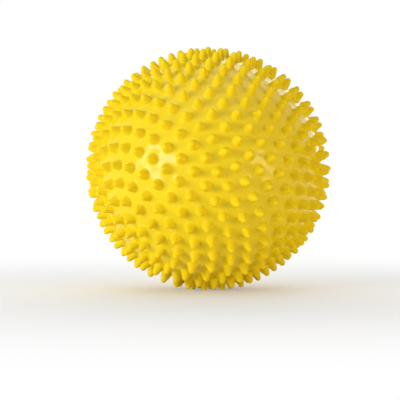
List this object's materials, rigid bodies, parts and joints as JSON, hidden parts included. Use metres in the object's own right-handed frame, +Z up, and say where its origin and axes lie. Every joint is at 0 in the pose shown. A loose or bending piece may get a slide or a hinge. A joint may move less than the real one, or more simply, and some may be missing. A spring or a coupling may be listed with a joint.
{
  "type": "spiky ball",
  "caption": "Inflatable round play ball with a hollow soft skin, blunt moulded spikes all over, and a valve seat with a pull-out stopper.",
  "frame": {"origin": "on the floor under the centre of the ball, at the level of the pressed-flat lowest spike tips", "axes": "+Z up, +Y out of the valve, -Y towards the viewer of the spiky front"},
  "size_m": [0.1999, 0.1983, 0.1979],
  "materials": {
    "skin": "semi-gloss soft vinyl, yellow, moulded in one colour",
    "seat": "satin soft vinyl, yellow",
    "plug": "satin soft vinyl, yellow"
  },
  "bodies": {
    "ball": {"ball_skin": "skin", "valve_seat": "seat"},
    "stopper": {"valve_plug": "plug"}
  },
  "joints": [
    {"name": "plug_pull", "type": "slide", "parent": "ball", "child": "stopper", "axis": [0, 1, 0], "range_m": [0, 0.025]}
  ]
}
